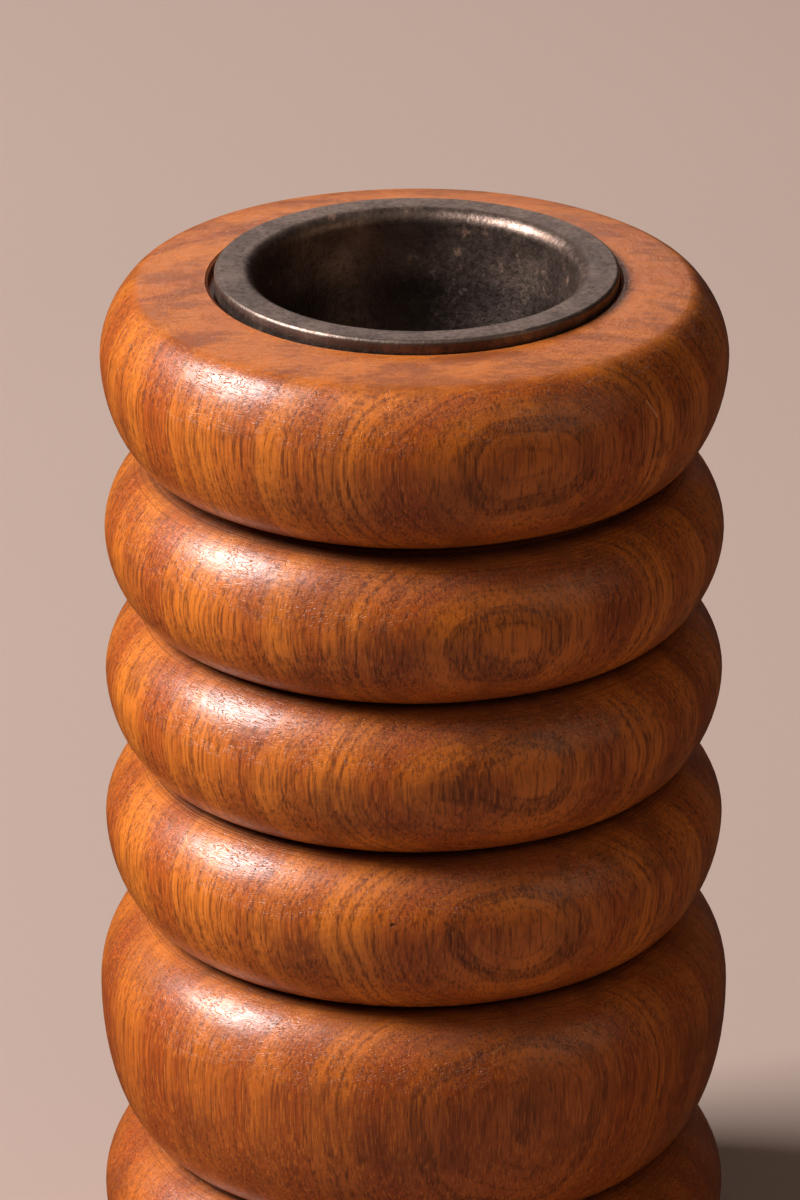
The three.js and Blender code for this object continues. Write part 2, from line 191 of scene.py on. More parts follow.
def arc(centre, radius, start, end, steps):
    """Points on a circle arc, from start to end in degrees."""
    points = []
    for i in range(steps + 1):
        a = math.radians(start + (end - start) * i / steps)
        points.append((centre[0] + radius * math.cos(a), centre[1] + radius * math.sin(a)))
    return points


def circle(radius, count, centre=(0, 0)):
    """Corners of a regular polygon, as (x, y)."""
    angles = [2 * math.pi * i / count for i in range(count)]
    return [(centre[0] + radius * math.cos(a), centre[1] + radius * math.sin(a)) for a in angles]


def rectangle(half_x, half_y, centre=(0, 0), turn=0.0):
    """Corners of a rectangle turned about its centre, as (x, y)."""
    x, y = centre
    c, s = math.cos(turn), math.sin(turn)
    corners = [(half_x, half_y), (-half_x, half_y), (-half_x, -half_y), (half_x, -half_y)]
    return [(x + a * c - b * s, y + a * s + b * c) for a, b in corners]


def plate(name, outlines, bottom, top, bevel):
    """A flat piece with bevelled edges. The first outline is its rim, and the rest are holes."""
    curve = bpy.data.curves.new(name, "CURVE")
    curve.dimensions = "2D"
    curve.fill_mode = "BOTH"
    curve.extrude = (top - bottom) / 2 - bevel
    curve.bevel_depth = bevel
    curve.bevel_resolution = 1
    curve.offset = -bevel
    for outline in outlines:
        spline = curve.splines.new("POLY")
        spline.points.add(len(outline) - 1)
        for point, (x, y) in zip(spline.points, outline):
            point.co = (x, y, 0, 1)
        spline.use_cyclic_u = True
    shape = bpy.data.objects.new(name + "_outline", curve)
    mesh = bpy.data.meshes.new_from_object(shape)
    bpy.data.objects.remove(shape)
    bpy.data.curves.remove(curve)
    bm = bmesh.new()
    bm.from_mesh(mesh)
    bpy.data.meshes.remove(mesh)
    bmesh.ops.remove_doubles(bm, verts=bm.verts, dist=1e-6)
    bmesh.ops.translate(bm, verts=bm.verts, vec=(0, 0, (top + bottom) / 2))
    bmesh.ops.recalc_face_normals(bm, faces=bm.faces)
    return object_from(bm, name)


def object_from(bm, name, smooth_angle=35):
    """A mesh object from a bmesh, which is freed."""
    mesh = bpy.data.meshes.new(name)
    bm.to_mesh(mesh)
    bm.free()
    obj = bpy.data.objects.new(name, mesh)
    bpy.context.scene.collection.objects.link(obj)
    mesh.polygons.foreach_set("use_smooth", [True] * len(mesh.polygons))
    mesh.set_sharp_from_angle(angle=math.radians(smooth_angle))
    return obj


def joined(name, *parts):
    """One object made of several, which are removed."""
    bm = bmesh.new()
    for part in parts:
        bm.from_mesh(part.data)
        bpy.data.objects.remove(part)
    return object_from(bm, name)


def carve(obj, cutter):
    """Cuts one object out of another, and removes the cutter."""
    modifier = obj.modifiers.new("carve", "BOOLEAN")
    modifier.operation = "DIFFERENCE"
    modifier.solver = "EXACT"
    modifier.object = cutter
    bpy.context.view_layer.update()
    graph = bpy.context.evaluated_depsgraph_get()
    mesh = bpy.data.meshes.new_from_object(obj.evaluated_get(graph))
    obj.modifiers.clear()
    obj.data = mesh
    bpy.data.objects.remove(cutter)
    mesh.set_sharp_from_angle(angle=math.radians(35))
    return obj


def roughen(obj, amount, spread, seed=0.0, inside=None):
    """Moves each vertex inwards along its normal by up to amount, in slow waves."""
    offset = Vector((seed, seed * 0.7, seed * 1.3))
    mesh = obj.data
    normals = [v.normal.copy() for v in mesh.vertices]
    for v, n in zip(mesh.vertices, normals):
        if inside is not None and not inside(v.co):
            continue
        wave = 0.5 + 0.5 * noise.noise(v.co / spread + offset)
        v.co -= n * amount * wave
    mesh.update()


def finish_piece(obj, node, material):
    """Gives a piece its material, and hands it to the body of the node that it replaces."""
    obj.data.materials.clear()
    obj.data.materials.append(material)
    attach(obj, BODY_OF[node])
    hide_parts(node)
    return obj


# -------------------------------------------------------------------------------------------------
# Outlines read from the frame


def section(node):
    """(radius, height) of a turned node's vertices in the half-plane that faces +Y."""
    points = set()
    for v in NODES[node].data.vertices:
        if abs(v.co.x) < 1e-6 and v.co.y > 0:
            points.add((round(v.co.y, 7), round(v.co.z, 7)))
    return sorted(points, key=lambda p: p[1])


def walk_steps(points, start):
    """Orders points joined by level and upright lines, from start."""
    ordered, left = [start], [p for p in points if p != start]
    while left:
        here = ordered[-1]
        level = [p for p in left if abs(p[1] - here[1]) < 1e-6]
        upright = [p for p in left if abs(p[0] - here[0]) < 1e-6]
        turn_level = len(ordered) > 1 and abs(ordered[-2][0] - here[0]) < 1e-6
        choices = (level or upright) if turn_level else (upright or level)
        nearest = min(choices, key=lambda p: math.dist(p, here))
        ordered.append(nearest)
        left.remove(nearest)
    return ordered


def half_bead(belly, reach, end_radius, groove, power, steps):
    """Points from the belly to one end of a bead: its curve is a superellipse, cut at end_radius."""
    share = max(0.0, (end_radius - groove) / (belly - groove))
    end = math.acos(min(1.0, share ** (power / 2)))
    whole = reach / math.sin(end) ** (2 / power)
    points = []
    for i in range(steps + 1):
        a = end * i / steps
        out = max(0.0, math.cos(a)) ** (2 / power)
        points.append((groove + (belly - groove) * out, whole * math.sin(a) ** (2 / power)))
    return points


def beads(points):
    """A fine outline, upwards, through a coarse one of beads and grooves."""
    groove = min(r for r, _ in points)
    fine = []
    bellies = [
        i
        for i in range(1, len(points) - 1)
        if points[i][0] > points[i - 1][0] and points[i][0] >= points[i + 1][0]
    ]
    ends = [0]
    for a, b in zip(bellies, bellies[1:]):
        ends.append(min(range(a, b), key=lambda i: points[i][0]))
    ends.append(len(points) - 1)
    for low, belly, high in zip(ends, bellies, ends[1:]):
        radius, z = points[belly]
        tall = points[high][1] - points[low][1] > TALL_BEAD
        power = TALL_BEAD_POWER if tall else BEAD_POWER
        for side, end in ((-1, low), (1, high)):
            reach = abs(points[end][1] - z)
            half = half_bead(radius, reach, points[end][0], groove, power, BEAD_STEPS)
            half = [(r, z + side * rise) for r, rise in half]
            fine += half[:0:-1] if side < 0 else half
    return [p for i, p in enumerate(fine) if i == 0 or math.dist(p, fine[i - 1]) > 1e-6]


def eased(outline, radius, steps=3):
    """Rounds the corners of an outline's straight runs by up to radius."""
    soft = []
    for i, p in enumerate(outline):
        before, after = outline[i - 1], outline[(i + 1) % len(outline)]
        a = Vector((before[0] - p[0], before[1] - p[1]))
        b = Vector((after[0] - p[0], after[1] - p[1]))
        if min(a.length, b.length) < 1e-6 or a.angle(b) > math.radians(140):
            soft.append(p)
            continue
        reach = min(radius, a.length * 0.4, b.length * 0.4)
        corner = Vector(p)
        start, end = corner + a.normalized() * reach, corner + b.normalized() * reach
        for k in range(steps + 1):
            t = k / steps
            point = start * (1 - t) ** 2 + corner * 2 * t * (1 - t) + end * t**2
            soft.append(tuple(point))
    return soft


# -------------------------------------------------------------------------------------------------
# Node materials


class Material:
    """Short calls for building a node material. Any input may be a number or a socket."""

    def __init__(self, name):
        self.material = bpy.data.materials.new(name)
        self.material.use_nodes = True
        self.tree = self.material.node_tree
        self.shader = self.tree.nodes["Principled BSDF"]

    def add(self, kind, inputs, **settings):
        """A shader node. inputs holds a value or a socket for each input's name or number."""
        made = self.tree.nodes.new("ShaderNode" + kind)
        for key, value in settings.items():
            setattr(made, key, value)
        for key, value in inputs.items():
            self.put(made.inputs[key], value)
        return made

    def put(self, socket, value):
        if isinstance(value, bpy.types.NodeSocket):
            self.tree.links.new(value, socket)
        else:
            socket.default_value = value

    def set(self, **values):
        """Sets the shader's inputs. Underscores in the names stand for spaces."""
        for key, value in values.items():
            self.put(self.shader.inputs[key.replace("_", " ")], value)

    def math(self, operation, *values, clamp=False):
        inputs = dict(enumerate(values))
        return self.add("Math", inputs, operation=operation, use_clamp=clamp).outputs[0]

    def vector(self, operation, a, b=(0, 0, 0)):
        key = 3 if operation == "SCALE" else 1
        return self.add("VectorMath", {0: a, key: b}, operation=operation).outputs[0]

    def place(self):
        """The point's place on the piece at rest, in millimetres."""
        coordinates = self.add("TexCoord", {}).outputs["Object"]
        return self.vector("SCALE", coordinates, 1 / MM)

    def surface(self):
        """Millimetres round the piece and along its outline."""
        return self.add("UVMap", {}, uv_map="UVMap").outputs[0]

    def length(self, vector):
        return self.add("VectorMath", {0: vector}, operation="LENGTH").outputs["Value"]

    def stretched(self, vector, scale, turn=(0, 0, 0)):
        return self.add("Mapping", {"Vector": vector, "Scale": scale, "Rotation": turn}).outputs[0]

    def noise(self, vector, scale=1.0, detail=2.0, roughness=0.5):
        inputs = {"Vector": vector, "Scale": scale, "Detail": detail, "Roughness": roughness}
        return self.add("TexNoise", inputs).outputs[0]

    def noise_1d(self, value, scale=1.0, detail=2.0, roughness=0.5):
        inputs = {"W": value, "Scale": scale, "Detail": detail, "Roughness": roughness}
        return self.add("TexNoise", inputs, noise_dimensions="1D").outputs[0]

    def cells(self, vector):
        """Distance to the nearest of some scattered points, about one to each unit cube."""
        return self.add("TexVoronoi", {"Vector": vector, "Scale": 1.0}).outputs["Distance"]

    def fade(self, value, low, high, to_low=0.0, to_high=1.0):
        """Goes smoothly from to_low, where the value is low, to to_high, where it is high."""
        inputs = {
            "Value": value,
            "From Min": low,
            "From Max": high,
            "To Min": to_low,
            "To Max": to_high,
        }
        return self.add("MapRange", inputs, interpolation_type="SMOOTHSTEP").outputs[0]

    def mix(self, amount, a, b):
        """From colour a to colour b."""
        return self.add("Mix", {0: amount, 6: a, 7: b}, data_type="RGBA").outputs[2]

    def bump(self, height, distance, normal=None):
        """distance is in millimetres, for a height from 0 to 1."""
        inputs = {"Height": height, "Distance": distance * MM, "Strength": 1.0}
        if normal is not None:
            inputs["Normal"] = normal
        return self.add("Bump", inputs).outputs[0]

    def relief(self, *heights):
        """One bump from several (height, millimetres) pairs. A hollow's millimetres are negative."""
        total = 0.0
        for height, depth in heights:
            total = self.math("MULTIPLY_ADD", height, depth, total)
        return self.bump(total, 1.0)

    def split(self, vector):
        return self.add("SeparateXYZ", {0: vector}).outputs


def rgb(red, green, blue):
    return (red, green, blue, 1.0)


WOOD_GOLD = rgb(0.57, 0.152, 0.012)
WOOD_MID = rgb(0.37, 0.074, 0.006)
WOOD_RED = rgb(0.25, 0.040, 0.005)
WOOD_DARK = rgb(0.066, 0.014, 0.004)
WOOD_BROWN = rgb(0.150, 0.033, 0.006)
WOOD_PORE = rgb(0.034, 0.009, 0.003)
WOOD_END = rgb(0.395, 0.108, 0.017)
WOOD_SMUDGE = rgb(0.17, 0.043, 0.011)
WOOD_SCRATCH = rgb(0.80, 0.38, 0.14)
WOOD_RAW = rgb(0.30, 0.13, 0.05)


def pith_distance(m, place):
    """Distance from the pith, warped as real rings are, in millimetres."""
    x, y = math.sin(PITH_AZIMUTH) * PITH_DISTANCE, -math.cos(PITH_AZIMUTH) * PITH_DISTANCE
    slow = m.stretched(place, (0.06, 0.06, 0.045))
    waves = m.add("TexNoise", {"Vector": slow, "Scale": 1.0, "Detail": 1.4}).outputs["Color"]
    warp = m.vector("SCALE", m.vector("SUBTRACT", waves, (0.5, 0.5, 0.5)), PITH_WARP)
    moved = m.vector("SUBTRACT", m.vector("ADD", place, warp), (x, y, 0))
    return m.length(m.vector("MULTIPLY", moved, (1, 1, 0)))


def scratch_lines(m, surface):
    """Fine lines that cross the surface every way, from 0 to 1."""
    bend = m.add("TexNoise", {"Vector": surface, "Scale": 0.12, "Detail": 1.0}).outputs["Color"]
    bent = m.vector("ADD", surface, m.vector("SCALE", bend, 9.0))
    lines = 0.0
    for turn, length in ((0.4, 0.11), (1.9, 0.15)):
        streak = m.noise(m.stretched(bent, (length, 4.6, 1), (0, 0, turn)), 1.0, 1.0, 0.4)
        lines = m.math("MAXIMUM", lines, m.fade(streak, 0.68, 0.76))
    return lines


def wrinkles(m, surface):
    """Fine wavy wrinkles of shrunken varnish, from 0 to 1: patches of a noise's contour lines."""
    waves = m.noise(m.stretched(surface, (0.16, 0.75, 1)), 1.0, 3.0, 0.55)
    contour = m.math("PINGPONG", m.math("MULTIPLY", waves, 17.0), 0.5)
    patchy = m.noise(m.stretched(surface, (0.5, 0.5, 1)), 1.0, 1.0, 0.5)
    return m.math("MULTIPLY", m.fade(contour, 0.0, 0.13, 1.0, 0.0), m.fade(patchy, 0.36, 0.52))


def on_wood(azimuth, height, radius):
    """A place on the mill in millimetres, from its azimuth to the right of the front."""
    a = math.radians(azimuth)
    return Vector((math.sin(a) * radius, -math.cos(a) * radius, height))


def nick(m, place, start, end, width):
    """A short straight mark between two places, from 0 to 1."""
    run = end - start
    along = run.normalized()
    away = m.vector("SUBTRACT", place, tuple(start))
    reach = m.add("VectorMath", {0: away, 1: tuple(along)}, operation="DOT_PRODUCT").outputs["Value"]
    reach = m.math("MINIMUM", m.math("MAXIMUM", reach, 0.0), run.length)
    beside = m.vector("SUBTRACT", away, m.vector("SCALE", tuple(along), reach))
    return m.fade(m.length(beside), width * 0.5, width, 1.0, 0.0)


def end_grain(m, place):
    """The colour of the level faces: smudges and short dashes."""
    smudge = m.noise(m.stretched(place, (0.13, 0.30, 0.2), (0, 0, 0.35)), 1.0, 5.0, 0.68)
    face = m.mix(m.fade(smudge, 0.46, 0.60, 0.0, 0.9), WOOD_END, WOOD_SMUDGE)
    dashes = m.noise(m.stretched(place, (0.7, 4.5, 1.0), (0, 0, 0.2)), 1.0, 2.0, 0.6)
    return m.mix(m.fade(dashes, 0.50, 0.66, 0.0, 0.6), face, WOOD_SMUDGE)


def wood_colour(m, place, up):
    """The wood's own colour, and its fibres, ring lines and pores, each from 0 to 1."""
    pith = pith_distance(m, place)
    bands = m.noise_1d(pith, 0.16, 2.0, 0.5)
    rings = m.noise_1d(pith, 1.25, 3.0, 0.6)
    lines = m.noise_1d(pith, 3.4, 2.0, 0.55)
    patches = m.noise(m.stretched(place, (0.10, 0.10, 0.05)), 1.0, 3.0, 0.6)
    fibre = m.noise(m.stretched(place, (3.3, 3.3, 0.22)), 1.0, 2.6, 0.62)
    flecks = m.noise(m.stretched(place, (5.5, 5.5, 0.32)), 1.0, 1.0, 0.5)
    end = m.fade(up, 0.72, 1.0)
    z = m.split(place)[2]
    side = m.math("SUBTRACT", 1.0, m.math("MULTIPLY", end, 0.75))
    side = m.math("MULTIPLY", side, m.fade(z, LOW_BEADS_MM * 0.7, LOW_BEADS_MM, 0.8, 1.0))
    broken = m.math("MULTIPLY", m.fade(fibre, 0.36, 0.58, 0.45, 1.0), side)
    colour = m.mix(m.fade(bands, 0.40, 0.64), WOOD_GOLD, WOOD_MID)
    colour = m.mix(m.fade(patches, 0.45, 0.68, 0.0, 0.7), colour, WOOD_RED)
    low = m.fade(z, LOW_BEADS_MM * 0.7, LOW_BEADS_MM, 0.5, 0.0)
    colour = m.mix(low, colour, WOOD_RED)
    brown = m.math("MULTIPLY", m.fade(rings, 0.42, 0.66, 0.0, 0.60), broken)
    colour = m.mix(brown, colour, WOOD_BROWN)
    dark = m.math("MULTIPLY", m.fade(lines, 0.50, 0.66, 0.0, 0.36), broken)
    colour = m.mix(dark, colour, WOOD_DARK)
    colour = m.mix(m.math("MULTIPLY", m.fade(fibre, 0.48, 0.64, 0.0, 0.48), side), colour, WOOD_DARK)
    colour = m.mix(m.fade(flecks, 0.54, 0.68, 0.0, 0.5), colour, WOOD_GOLD)
    cloud = m.noise(m.stretched(place, (0.16, 0.16, 0.16), (0.6, 0.3, 0)), 1.0, 5.0, 0.62)
    colour = m.mix(m.fade(cloud, 0.50, 0.66, 0.0, 0.42), colour, WOOD_BROWN)
    colour = m.mix(m.math("MULTIPLY", end, 0.72), colour, end_grain(m, place))
    # Pores are long hollows along the grain: streaks on the side of the wood, dots on its end.
    pore = m.cells(m.stretched(place, (2.6, 2.6, 0.36)))
    pores = m.math("MULTIPLY", m.fade(pore, 0.09, 0.17, 1.0, 0.0), m.fade(rings, 0.35, 0.6, 0.35, 1.0))
    colour = m.mix(m.math("MULTIPLY", pores, 0.32), colour, WOOD_PORE)
    return colour, fibre, lines, pores, patches


def wood_material(name, varnished=True):
    """Turned hardwood, bare or under old varnish, darkened in its grooves by grime and painted shade.
    """
    m = Material(name)
    place, surface = m.place(), m.surface()
    up = m.split(m.add("NewGeometry", {}).outputs["Normal"])[2]
    colour, fibre, lines, pores, patches = wood_colour(m, place, up)
    ripple = m.noise(m.stretched(surface, (0.8, 1.6, 1)), 1.0, 3.0, 0.6)
    blotch = m.fade(ripple, 0.3, 0.7)
    grit = m.noise(place, 2.6, 2.0, 0.6)
    heights = [(fibre, -0.022), (lines, -0.008), (pores, -0.045), (ripple, 0.040), (grit, 0.020)]
    if not varnished:
        colour = m.mix(0.55, colour, WOOD_RAW)
        # Painted shade: the bare wood darkens towards the top of the bore, where it shows in the gap
        # beside the cup.
        painted_gap_shade = m.fade(m.split(place)[2], WOOD_TOP_MM - 6, WOOD_TOP_MM - 2, 0.0, 0.85)
        colour = m.mix(painted_gap_shade, colour, WOOD_DARK)
        rough = m.math("MULTIPLY_ADD", blotch, 0.2, 0.7)
        m.set(Base_Color=colour, Roughness=rough, Normal=m.relief(*heights), Specular_IOR_Level=0.2)
        return m.material
    radius = m.length(m.vector("MULTIPLY", place, (1, 1, 0)))
    # Grime and painted shade: the wood darkens towards the bottom of each groove.
    grime_and_groove_shade = m.fade(radius, GROOVE_MM + 0.2, GROOVE_MM + 2.4, 0.85, 0.0)
    below_top = m.fade(m.split(place)[2], WOOD_TOP_MM - 6, WOOD_TOP_MM - 4, 1.0, 0.0)
    grime_and_groove_shade = m.math("MULTIPLY", grime_and_groove_shade, below_top)
    worn = m.math("MULTIPLY", m.fade(up, -0.1, 0.75), m.fade(patches, 0.36, 0.58, 0.35, 1.0))
    scratches = m.math("MULTIPLY", scratch_lines(m, surface), worn)
    wrinkle = m.math("MULTIPLY", wrinkles(m, surface), worn)
    turned = m.noise(m.stretched(surface, (0.01, 5.0, 1)), 1.0, 1.0, 0.5)
    near_groove = m.fade(radius, GROOVE_MM + 0.5, GROOVE_MM + 4.6, 1.0, 0.0)
    near_groove = m.math("MULTIPLY", near_groove, below_top)
    tool_lines = m.math("MULTIPLY", m.fade(turned, 0.50, 0.68), near_groove)
    heights += [(scratches, -0.016), (wrinkle, -0.032), (tool_lines, -0.05)]
    nicks = 0.0
    for start, end, width in NICKS:
        nicks = m.math("MAXIMUM", nicks, nick(m, place, on_wood(*start), on_wood(*end), width))
    pit = nick(m, place, on_wood(*PIT), on_wood(*PIT) + Vector((0.2, 0, 0.08)), PIT_WIDTH)
    heights += [(nicks, -0.05), (pit, -0.06)]
    colour = m.mix(m.math("MULTIPLY", tool_lines, 0.45), colour, WOOD_DARK)
    # Grime and painted shade darken the grooves.
    colour = m.mix(grime_and_groove_shade, colour, WOOD_DARK)
    marks = m.math("MULTIPLY_ADD", scratches, 0.14, m.math("MULTIPLY", nicks, 0.45), clamp=True)
    colour = m.mix(marks, colour, WOOD_SCRATCH)
    colour = m.mix(pit, colour, WOOD_PORE)
    rough = m.math("MULTIPLY_ADD", blotch, 0.14, 0.38)
    rough = m.math("MULTIPLY_ADD", grime_and_groove_shade, 0.25, rough)
    film = m.relief((ripple, 0.032), (wrinkle, -0.052), (scratches, -0.014))
    m.set(Base_Color=colour, Roughness=rough, Normal=m.relief(*heights), Specular_IOR_Level=0.25)
    m.set(Coat_Weight=m.fade(up, 0.72, 1.0, 0.62, 0.3), Coat_Roughness=0.29, Coat_Normal=film)
    return m.material


def metal_material(name, colour, dull, tint, roughness, metallic=1.0, grain=1.2, relief=0.02):
    """Bare metal: even, with slow stains, fine speckle and small scratches."""
    m = Material(name)
    place = m.place()
    stains = m.noise(place, 0.12, 4.0, 0.6)
    speckle = m.noise(place, grain, 3.0, 0.6)
    shade = m.mix(m.fade(stains, 0.4, 0.7), colour, dull)
    shade = m.mix(m.fade(speckle, 0.58, 0.72, 0.0, 0.6), shade, tint)
    scratch = m.noise(m.stretched(place, (4.0, 0.3, 4.0), (0.2, 0.1, 0.6)), 1.0, 2.0, 0.5)
    low, high = roughness
    rough = m.fade(stains, 0.3, 0.7, low, high)
    rough = m.math("ADD", rough, m.fade(scratch, 0.6, 0.7, 0.0, 0.12), clamp=True)
    normal = m.bump(speckle, relief)
    normal = m.bump(scratch, relief * 0.4, normal=normal)
    m.set(Base_Color=shade, Roughness=rough, Normal=normal, Metallic=metallic)
    return m.material


def cup_material(name):
    """Dark cast iron with an old brown patina, rubbed bright along the flange's outer edge."""
    m = Material(name)
    place = m.place()
    z = m.split(place)[2]
    stains = m.noise(place, 0.22, 4.0, 0.62)
    speckle = m.noise(place, 1.8, 4.0, 0.65)
    rust = m.noise(place, 0.8, 5.0, 0.7)
    colour = m.mix(m.fade(stains, 0.35, 0.68), rgb(0.120, 0.084, 0.068), rgb(0.225, 0.158, 0.126))
    colour = m.mix(m.fade(speckle, 0.52, 0.75, 0.0, 0.55), colour, rgb(0.030, 0.023, 0.020))
    rusty = m.math("MULTIPLY", m.fade(rust, 0.57, 0.68), m.fade(stains, 0.4, 0.62, 0.25, 1.0))
    colour = m.mix(m.math("MULTIPLY", rusty, 0.7), colour, rgb(0.17, 0.070, 0.026))
    top = CUP_TOP_MM
    centred = m.vector("MULTIPLY", m.vector("SUBTRACT", place, (CUP_CENTRE_MM, 0, 0)), (1, 1, 0))
    radius = m.length(centred)
    outer = m.fade(radius, CUP_RADIUS_MM - 0.9, CUP_RADIUS_MM - 0.3)
    edge = m.math("MULTIPLY", outer, m.fade(z, top - 0.9, top - 0.3))
    rubbed = m.math("MULTIPLY", edge, m.fade(speckle, 0.3, 0.6, 1.0, 0.35))
    colour = m.mix(m.math("MULTIPLY", rubbed, 0.25), colour, rgb(0.34, 0.29, 0.25))
    # Painted shade: the inside of the bowl darkens with depth.
    within = m.fade(radius, CUP_RADIUS_MM - 5, CUP_RADIUS_MM - 3.6, 1.0, 0.0)
    painted_bowl_shade = m.math("MULTIPLY", within, m.fade(z, top - 7.5, top - 1.5, 1.0, 0.0))
    colour = m.mix(m.math("MULTIPLY", painted_bowl_shade, 0.85), colour, rgb(0.016, 0.011, 0.009))
    rough = m.fade(speckle, 0.35, 0.7, 0.34, 0.52)
    rough = m.math("ADD", rough, m.math("MULTIPLY", rusty, 0.25))
    rough = m.math("ADD", rough, m.math("MULTIPLY", rubbed, 0.06), clamp=True)
    relief = m.relief((speckle, 0.05), (rust, 0.05))
    metallic = m.math("SUBTRACT", 0.9, m.math("MULTIPLY", rusty, 0.6), clamp=True)
    m.set(Base_Color=colour, Roughness=rough, Normal=relief, Metallic=metallic)
    return m.material


def fibre_material(name):
    """Pressed brown fibre board, for washers."""
    m = Material(name)
    place = m.place()
    flecks = m.noise(m.stretched(place, (1.0, 3.0, 1.0)), 1.0, 4.0, 0.7)
    colour = m.mix(m.fade(flecks, 0.4, 0.65), rgb(0.13, 0.045, 0.022), rgb(0.06, 0.022, 0.012))
    m.set(Base_Color=colour, Roughness=m.fade(flecks, 0.3, 0.7, 0.7, 0.9), Normal=m.bump(flecks, 0.03))
    return m.material


# -------------------------------------------------------------------------------------------------
# The wooden parts

barrel_section = section("barrel")
head_section = section("head_ring")
outer_groove = min(r for r, _ in barrel_section if r > NODES["neck_collar"].dimensions.x / 2 + 2 * MM)
GROOVE_MM = outer_groove / MM
wood_top = max(z for _, z in head_section)
WOOD_TOP_MM = wood_top / MM
LOW_BEADS_MM = WOOD_TOP_MM * 0.42  # the two lowest beads, below this, are the reddest
cup_low, cup_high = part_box("filler_cup")
CUP_RADIUS_MM = (cup_high.x - cup_low.x) / 2 / MM
CUP_CENTRE_MM = (cup_high.x + cup_low.x) / 2 / MM
CUP_TOP_MM = cup_high.z / MM

wood = wood_material("turned_wood")
raw_wood = wood_material("raw_wood", varnished=False)


def crowned(curve, seat_radius):
    """Replaces the flat end of a bead's curve with a face that falls slightly to its shoulder."""
    side = [p for p in curve if p[1] < wood_top - CROWN_FALL - SHOULDER_EASE]
    shoulder = Vector((SHOULDER_RADIUS, wood_top - CROWN_FALL))
    face = []
    for i in range(FACE_STEPS + 1):
        r = seat_radius + (shoulder.x - SHOULDER_EASE - seat_radius) * (1 - i / FACE_STEPS)
        t = (r - seat_radius) / (shoulder.x - seat_radius)
        face.append((r, wood_top - CROWN_FALL * t**2))
    start, end = Vector(side[-1]), Vector(face[0])
    turn = []
    for t in (0.15, 0.3, 0.45, 0.6, 0.75, 0.9):
        turn.append(tuple(start * (1 - t) ** 2 + shoulder * 2 * t * (1 - t) + end * t**2))
    return side + turn + face


def wooden_part(name, node, points, seed):
    """A turned part: fine beads outside, and the level and upright steps of its bore inside."""
    outside = [p for p in points if p[0] > outer_groove - 1e-6]
    inside = [p for p in points if p[0] < outer_groove - 1e-6]
    curve = beads(outside)
    if node == "head_ring":
        seat = max(r for r, z in inside if z > wood_top - 1e-6)
        curve = crowned(curve, seat + SEAT_EASE)
    start = min(inside, key=lambda p: (abs(p[1] - curve[-1][1]), -p[0]))
    bore = eased(walk_steps(inside, start), SEAT_EASE)
    obj = lathe(name, curve + bore, WOOD_SEGMENTS, smooth_angle=35)
    bore_radius = max(r for r, _ in inside) + 0.5 * MM
    roughen(obj, OUT_OF_ROUND, OUT_OF_ROUND_SPREAD, seed, lambda co: co.xy.length > bore_radius)
    finish_piece(obj, node, wood)
    obj.data.materials.append(raw_wood)
    for face in obj.data.polygons:
        out, up = face.center.xy.length, face.normal.z
        in_bore = out < bore_radius and (abs(up) < 0.5 or face.center.z < wood_top - 2 * MM)
        if in_bore or up < -0.99:
            face.material_index = 1
    return obj


wooden_part("barrel_turned", "barrel", barrel_section, 3.0)
wooden_part("head_turned", "head_ring", head_section, 5.0)

# -------------------------------------------------------------------------------------------------
# The filler cup

FLANGE_EDGE = 0.45 * MM
FLANGE_THICKNESS = 2.4 * MM
LIP_RADIUS = 1.5 * MM
MOUTH_INSET = 4.0 * MM  # from the flange's outer edge to the mouth
CUP_WALL = 1.45 * MM
OUTLET_SHARE = 0.73  # of the mouth's radius
BOWL_STEPS = 14


def filler_cup():
    radius, top, bottom = CUP_RADIUS_MM * MM, cup_high.z, cup_low.z
    mouth = radius - MOUTH_INSET
    under = top - FLANGE_THICKNESS
    lip_foot = top - LIP_RADIUS
    bowl = []
    for i in range(BOWL_STEPS + 1):
        t = i / BOWL_STEPS
        swell = mouth * (1 - OUTLET_SHARE) * math.sin(t * math.pi / 2)
        bowl.append((mouth * OUTLET_SHARE + swell, bottom + t * (lip_foot - bottom)))
    outside = [(r + CUP_WALL, z) for r, z in bowl if z < under - 0.4 * MM]
    outline = outside + [(mouth + CUP_WALL, under), (radius - 0.2 * MM, under)]
    outline += arc((radius - FLANGE_EDGE, under + FLANGE_EDGE), FLANGE_EDGE, -60, 0, 4)
    outline += arc((radius - FLANGE_EDGE, top - FLANGE_EDGE), FLANGE_EDGE, 0, 90, 8)
    outline += [(radius - 1.4 * MM, top - 0.02 * MM)]
    outline += arc((mouth + LIP_RADIUS, top - LIP_RADIUS - 0.02 * MM), LIP_RADIUS, 90, 180, 10)
    outline += bowl[-2::-1]
    obj = lathe("filler_cup_cast", outline, CUP_SEGMENTS, centre=(CUP_CENTRE_MM * MM, 0))
    roughen(obj, 0.04 * MM, 3 * MM, 8.0)
    return finish_piece(obj, "filler_cup", cup_material("old_iron"))


filler_cup()

# -------------------------------------------------------------------------------------------------
# The works

steel = metal_material(
    "plain_steel", rgb(0.52, 0.51, 0.50), rgb(0.34, 0.33, 0.32), rgb(0.22, 0.19, 0.16), (0.28, 0.45)
)
burr_steel = metal_material(
    "hard_steel", rgb(0.21, 0.205, 0.20), rgb(0.12, 0.11, 0.105), rgb(0.10, 0.06, 0.04), (0.35, 0.55)
)
brass = metal_material(
    "plain_brass", rgb(0.60, 0.41, 0.15), rgb(0.38, 0.25, 0.10), rgb(0.20, 0.13, 0.07), (0.25, 0.42)
)
fibre = fibre_material("pressed_fibre")
FINISHES = {"steel": steel, "burr_steel": burr_steel, "brass": brass, "fibre": fibre}

